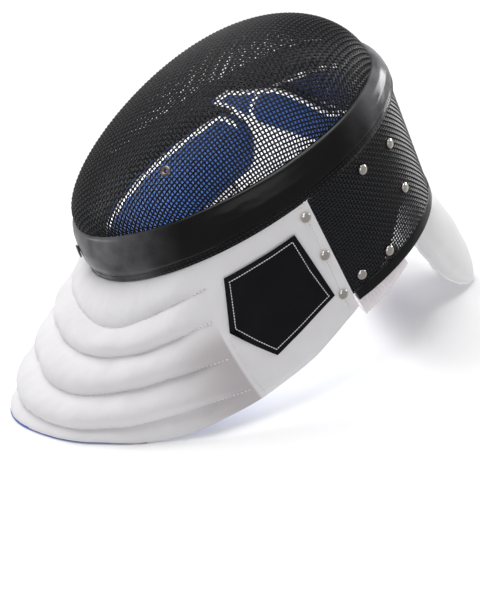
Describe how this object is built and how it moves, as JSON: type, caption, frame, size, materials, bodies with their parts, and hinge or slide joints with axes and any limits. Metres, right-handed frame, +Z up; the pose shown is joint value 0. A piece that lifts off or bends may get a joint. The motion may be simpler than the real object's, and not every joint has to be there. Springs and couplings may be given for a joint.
{
  "type": "fencing mask",
  "caption": "Fencing mask with a woven wire front and sides, rubber trim, quilted bib with blue lining, inner pads, back strap and spring tongue.",
  "frame": {"origin": "centre of the box's underside, on the surface that the bib hem and the tongue rest on", "axes": "+X towards the wearer's left, +Y from the bib towards the crown and tongue, +Z up, out of the face"},
  "size_m": [0.2386, 0.3826, 0.2499],
  "materials": {
    "mesh_wire": "black coated steel wire, woven",
    "trim_rubber": "semi-gloss moulded",
    "binding": "glossy tape",
    "bib_cloth": "matt white woven cloth, quilted",
    "lining_satin": "blue satin",
    "label_patch": "black satin with a white stitched border",
    "rivet_nickel": "polished nickel",
    "pad_cloth": "blue brushed cloth with white piping",
    "strap_elastic": "white ribbed elastic",
    "tongue_cloth": "white vinyl-faced cloth",
    "spring_steel": "bright strip"
  },
  "bodies": {
    "root": {"front_mesh": "mesh_wire", "side_mesh": "mesh_wire", "trim": "trim_rubber", "rear_binding": "binding", "bib_cover": "bib_cloth", "bib_lining": "lining_satin", "tongue_cover": "tongue_cloth", "tongue_spring": "spring_steel", "back_strap": "strap_elastic", "chin_eyelet": "rivet_nickel", "mesh_eyelet": "rivet_nickel", "label_left": "label_patch", "cheek_pad_left": "pad_cloth", "forehead_pad_left": "pad_cloth", "tab_rivet_1_left": "rivet_nickel", "tab_rivet_2_left": "rivet_nickel", "tab_rivet_3_left": "rivet_nickel", "side_rivet_1_left": "rivet_nickel", "side_rivet_2_left": "rivet_nickel", "side_rivet_3_left": "rivet_nickel", "side_rivet_4_left": "rivet_nickel", "side_rivet_5_left": "rivet_nickel", "label_right": "label_patch", "cheek_pad_right": "pad_cloth", "forehead_pad_right": "pad_cloth", "tab_rivet_1_right": "rivet_nickel", "tab_rivet_2_right": "rivet_nickel", "tab_rivet_3_right": "rivet_nickel", "side_rivet_1_right": "rivet_nickel", "side_rivet_2_right": "rivet_nickel", "side_rivet_3_right": "rivet_nickel", "side_rivet_4_right": "rivet_nickel", "side_rivet_5_right": "rivet_nickel"}
  },
  "joints": []
}
